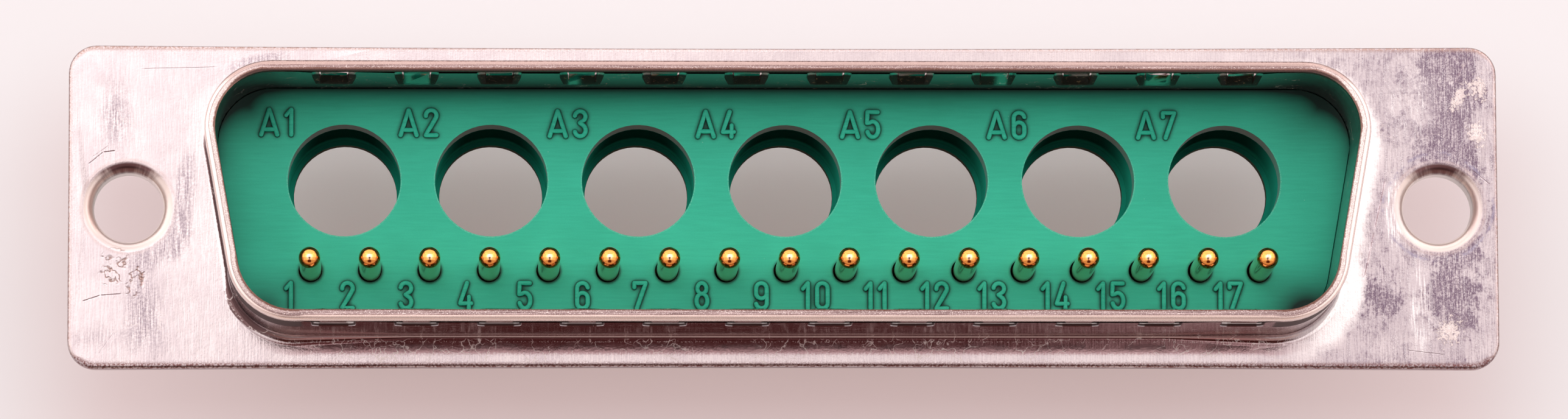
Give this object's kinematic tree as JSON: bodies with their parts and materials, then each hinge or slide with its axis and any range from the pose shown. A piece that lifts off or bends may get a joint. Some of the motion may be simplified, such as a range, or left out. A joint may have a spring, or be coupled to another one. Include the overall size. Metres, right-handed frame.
{
  "type": "d-sub plug",
  "caption": "Combination D-sub plug with a row of signal pins and a row of empty round contact cavities in a plated steel shell.",
  "frame": {"origin": "on the mating axis, in the front face of the flange, midway between the two mounting holes", "axes": "+Z is the mating direction, out of the collar; +X runs along the shell from pin 1 to pin 17; +Y points to the collar's wide side"},
  "size_m": [0.0666, 0.0152, 0.0145],
  "materials": {
    "plated_steel": "satin nickel plating with fine scratches",
    "green_insulator": "satin moulded glass-filled plastic",
    "gold": "polished gold plating on brass"
  },
  "bodies": {
    "root": {"front_shell": "plated_steel", "rear_shell": "plated_steel", "front_insulator": "green_insulator", "rear_insulator": "green_insulator", "signal_pin_01": "gold", "signal_pin_02": "gold", "signal_pin_03": "gold", "signal_pin_04": "gold", "signal_pin_05": "gold", "signal_pin_06": "gold", "signal_pin_07": "gold", "signal_pin_08": "gold", "signal_pin_09": "gold", "signal_pin_10": "gold", "signal_pin_11": "gold", "signal_pin_12": "gold", "signal_pin_13": "gold", "signal_pin_14": "gold", "signal_pin_15": "gold", "signal_pin_16": "gold", "signal_pin_17": "gold"}
  },
  "joints": []
}
